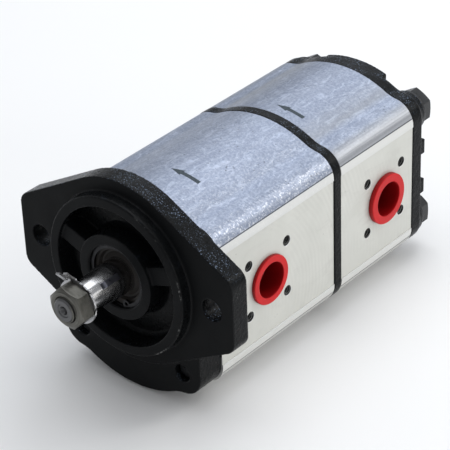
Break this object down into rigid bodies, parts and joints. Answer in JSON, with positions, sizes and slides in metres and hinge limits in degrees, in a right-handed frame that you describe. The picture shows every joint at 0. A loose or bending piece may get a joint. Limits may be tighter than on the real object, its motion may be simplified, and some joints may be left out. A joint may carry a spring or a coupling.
{
  "type": "hydraulic gear pump",
  "caption": "Tandem external gear pump with a two-bolt flange, round pilot, tapered keyed shaft, aluminium gear sections between black covers, and plugged side ports.",
  "frame": {"origin": "on the drive shaft's axis, in the plane of the flange's mounting face, midway between the two flange bolts", "axes": "-Y along the shaft, out of the mounting face; +Y towards the rear cover; +X towards the suction ports; +Z from the driven gears to the driving gears"},
  "size_m": [0.131, 0.2303, 0.1136],
  "materials": {
    "cover_paint": "semi-gloss black paint on a casting",
    "body_alloy": "raw extrusion, machined port faces",
    "block_alloy": "machined bearing alloy",
    "gear_steel": "ground and hardened",
    "shaft_steel": "ground taper, rolled thread",
    "bush_bronze": "sintered bronze on steel back",
    "seal_rubber": "matt nitrile rubber",
    "lip_rubber": "dark brown fluoro rubber",
    "ring_plastic": "natural nylon",
    "spring_steel": "phosphated spring steel",
    "nut_steel": "plain turned steel",
    "washer_steel": "bright pressed sheet",
    "bolt_black": "black finished, painted over",
    "plug_red": "moulded polyethylene"
  },
  "bodies": {
    "housing": {"front_cover": "cover_paint", "centre_plate": "cover_paint", "rear_cover": "cover_paint", "front_body": "body_alloy", "rear_body": "body_alloy", "front_block_a": "block_alloy", "front_block_b": "block_alloy", "rear_block_a": "block_alloy", "rear_block_b": "block_alloy", "front_bushes_a": "bush_bronze", "front_bushes_b": "bush_bronze", "rear_bushes_a": "bush_bronze", "rear_bushes_b": "bush_bronze", "section_seal_1": "seal_rubber", "section_seal_2": "seal_rubber", "section_seal_3": "seal_rubber", "section_seal_4": "seal_rubber", "axial_seals_front": "seal_rubber", "axial_seals_rear": "seal_rubber", "backup_rings_front": "ring_plastic", "backup_rings_rear": "ring_plastic", "shaft_seal": "lip_rubber", "seal_spring": "spring_steel", "retaining_ring": "spring_steel", "interstage_seal": "lip_rubber", "tie_bolts": "bolt_black", "tie_bolt_washers": "bolt_black", "dowel_pins": "gear_steel"},
    "drive_line": {"drive_shaft": "shaft_steel", "woodruff_key": "gear_steel", "tab_washer": "washer_steel", "shaft_nut": "nut_steel", "coupling": "gear_steel"},
    "front_driven": {"front_driven_gear": "gear_steel"},
    "rear_drive": {"rear_drive_gear": "gear_steel"},
    "rear_driven": {"rear_driven_gear": "gear_steel"},
    "suction_cap_front": {"suction_plug_front": "plug_red"},
    "suction_cap_rear": {"suction_plug_rear": "plug_red"},
    "pressure_cap_front": {"pressure_plug_front": "plug_red"},
    "pressure_cap_rear": {"pressure_plug_rear": "plug_red"}
  },
  "joints": [
    {"name": "drive_spin", "type": "hinge", "parent": "housing", "child": "drive_line", "pos_m": [0, 0, 0], "axis": [0, 1, 0], "continuous": true},
    {"name": "front_driven_spin", "type": "hinge", "parent": "housing", "child": "front_driven", "pos_m": [0, 0, -0.0288], "axis": [0, 1, 0], "continuous": true},
    {"name": "rear_drive_spin", "type": "hinge", "parent": "housing", "child": "rear_drive", "pos_m": [0, 0, 0], "axis": [0, 1, 0], "continuous": true},
    {"name": "rear_driven_spin", "type": "hinge", "parent": "housing", "child": "rear_driven", "pos_m": [0, 0, -0.0288], "axis": [0, 1, 0], "continuous": true},
    {"name": "suction_cap_front_pull", "type": "slide", "parent": "housing", "child": "suction_cap_front", "axis": [1, 0, 0], "range_m": [0, 0.03]},
    {"name": "suction_cap_rear_pull", "type": "slide", "parent": "housing", "child": "suction_cap_rear", "axis": [1, 0, 0], "range_m": [0, 0.03]},
    {"name": "pressure_cap_front_pull", "type": "slide", "parent": "housing", "child": "pressure_cap_front", "axis": [-1, 0, 0], "range_m": [0, 0.03]},
    {"name": "pressure_cap_rear_pull", "type": "slide", "parent": "housing", "child": "pressure_cap_rear", "axis": [-1, 0, 0], "range_m": [0, 0.03]}
  ],
  "couplings": [
    {"joint": "front_driven_spin", "follows": "drive_spin", "ratio": -1},
    {"joint": "rear_drive_spin", "follows": "drive_spin", "ratio": 1},
    {"joint": "rear_driven_spin", "follows": "drive_spin", "ratio": -1}
  ]
}
